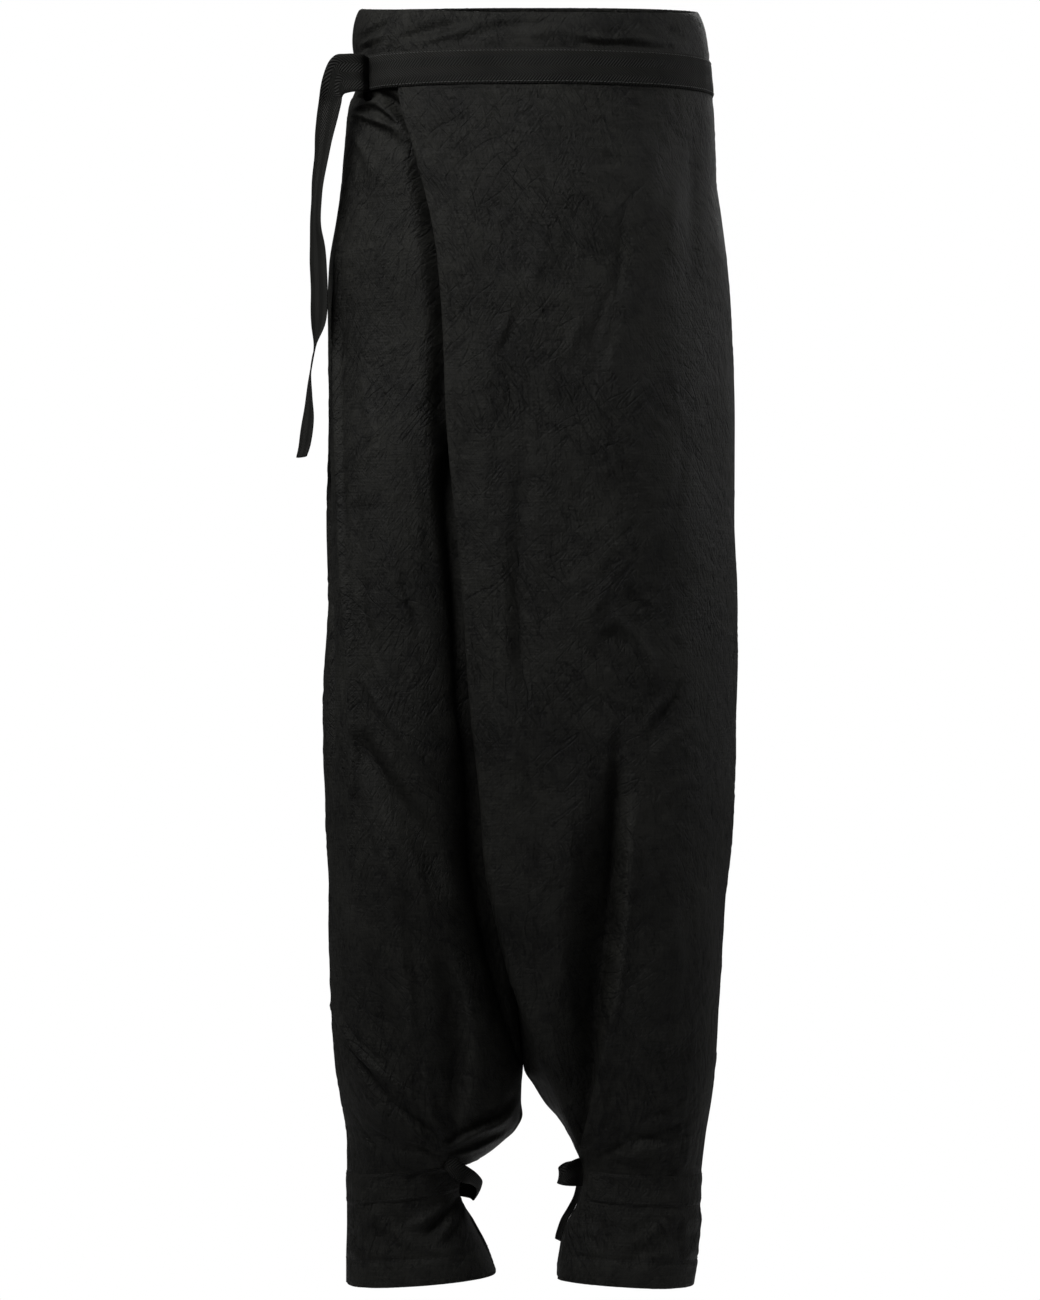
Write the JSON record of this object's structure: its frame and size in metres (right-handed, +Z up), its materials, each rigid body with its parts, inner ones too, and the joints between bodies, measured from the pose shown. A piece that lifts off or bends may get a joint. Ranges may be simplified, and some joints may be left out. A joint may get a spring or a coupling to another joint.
{
  "type": "wide-leg wrap trousers",
  "caption": "Worn-shape hollow wide-leg trousers with a low crotch, a wrapped front with a diagonal folded edge, a tied waist tape with a hanging end, and strapped ankles.",
  "frame": {"origin": "centre of the waist, level with the middle of the waist tape, where the wearer holds the trousers up", "axes": "+Z up along the legs, -Y the front, +X the wearer's left side"},
  "size_m": [0.3775, 0.264, 1.106],
  "materials": {
    "cloth": "black crinkled plain weave with a low satin sheen",
    "tape": "black herringbone twill tape, matte"
  },
  "bodies": {
    "root": {"left_front_panel": "cloth", "right_front_panel": "cloth", "left_back_panel": "cloth", "right_back_panel": "cloth", "waistband_left_front": "cloth", "waistband_right_front": "cloth", "waistband_back": "cloth", "waist_tape": "tape", "slot_bar": "tape", "tie_end": "tape", "left_ankle_band": "cloth", "right_ankle_band": "cloth", "left_strap_loop": "tape", "right_strap_loop": "tape", "left_strap_end": "tape"}
  },
  "joints": []
}
